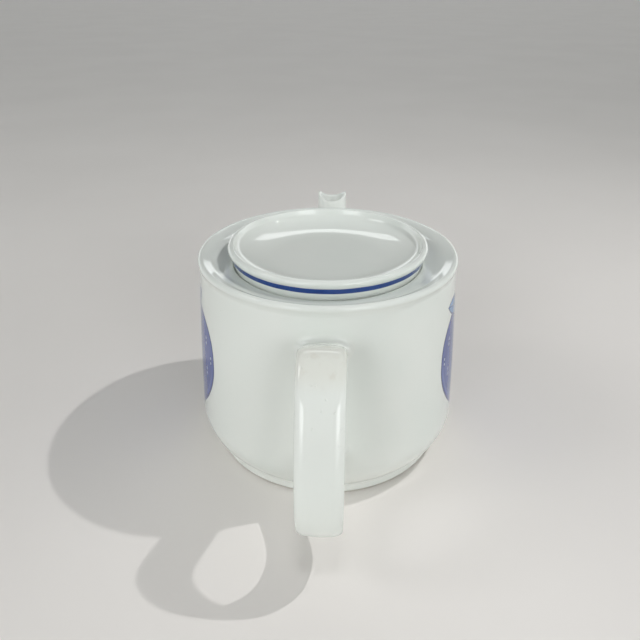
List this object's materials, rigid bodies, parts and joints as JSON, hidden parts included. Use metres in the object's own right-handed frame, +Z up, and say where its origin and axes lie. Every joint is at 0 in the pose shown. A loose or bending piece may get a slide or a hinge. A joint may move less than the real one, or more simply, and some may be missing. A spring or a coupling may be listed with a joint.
{
  "type": "porcelain teapot",
  "caption": "White glazed near-cylindrical teapot with a strap loop handle, a short pouring spout and a dish-shaped lid that sits in a shallow well in the rim.",
  "frame": {"origin": "on the pot's axis, at the middle of the foot ring, on the surface it stands on", "axes": "+Z up along the pot's axis, +X towards the spout, the handle on the -X side"},
  "size_m": [0.2448, 0.1436, 0.1161],
  "materials": {
    "glaze": "clear glossy glaze over white porcelain",
    "lid_glaze": "clear glossy glaze with one dark blue line under the rim",
    "bare_foot": "unglazed, ground smooth"
  },
  "bodies": {
    "pot": {"body": "glaze", "gallery": "glaze", "foot_ring": "bare_foot", "spout": "glaze", "handle": "glaze"},
    "lid": {"lid_dish": "lid_glaze", "lid_flange": "lid_glaze", "lid_lug": "lid_glaze"}
  },
  "joints": [
    {"name": "lid_lift", "type": "slide", "parent": "pot", "child": "lid", "axis": [0, 0, 1], "range_m": [0, 0.06]}
  ]
}
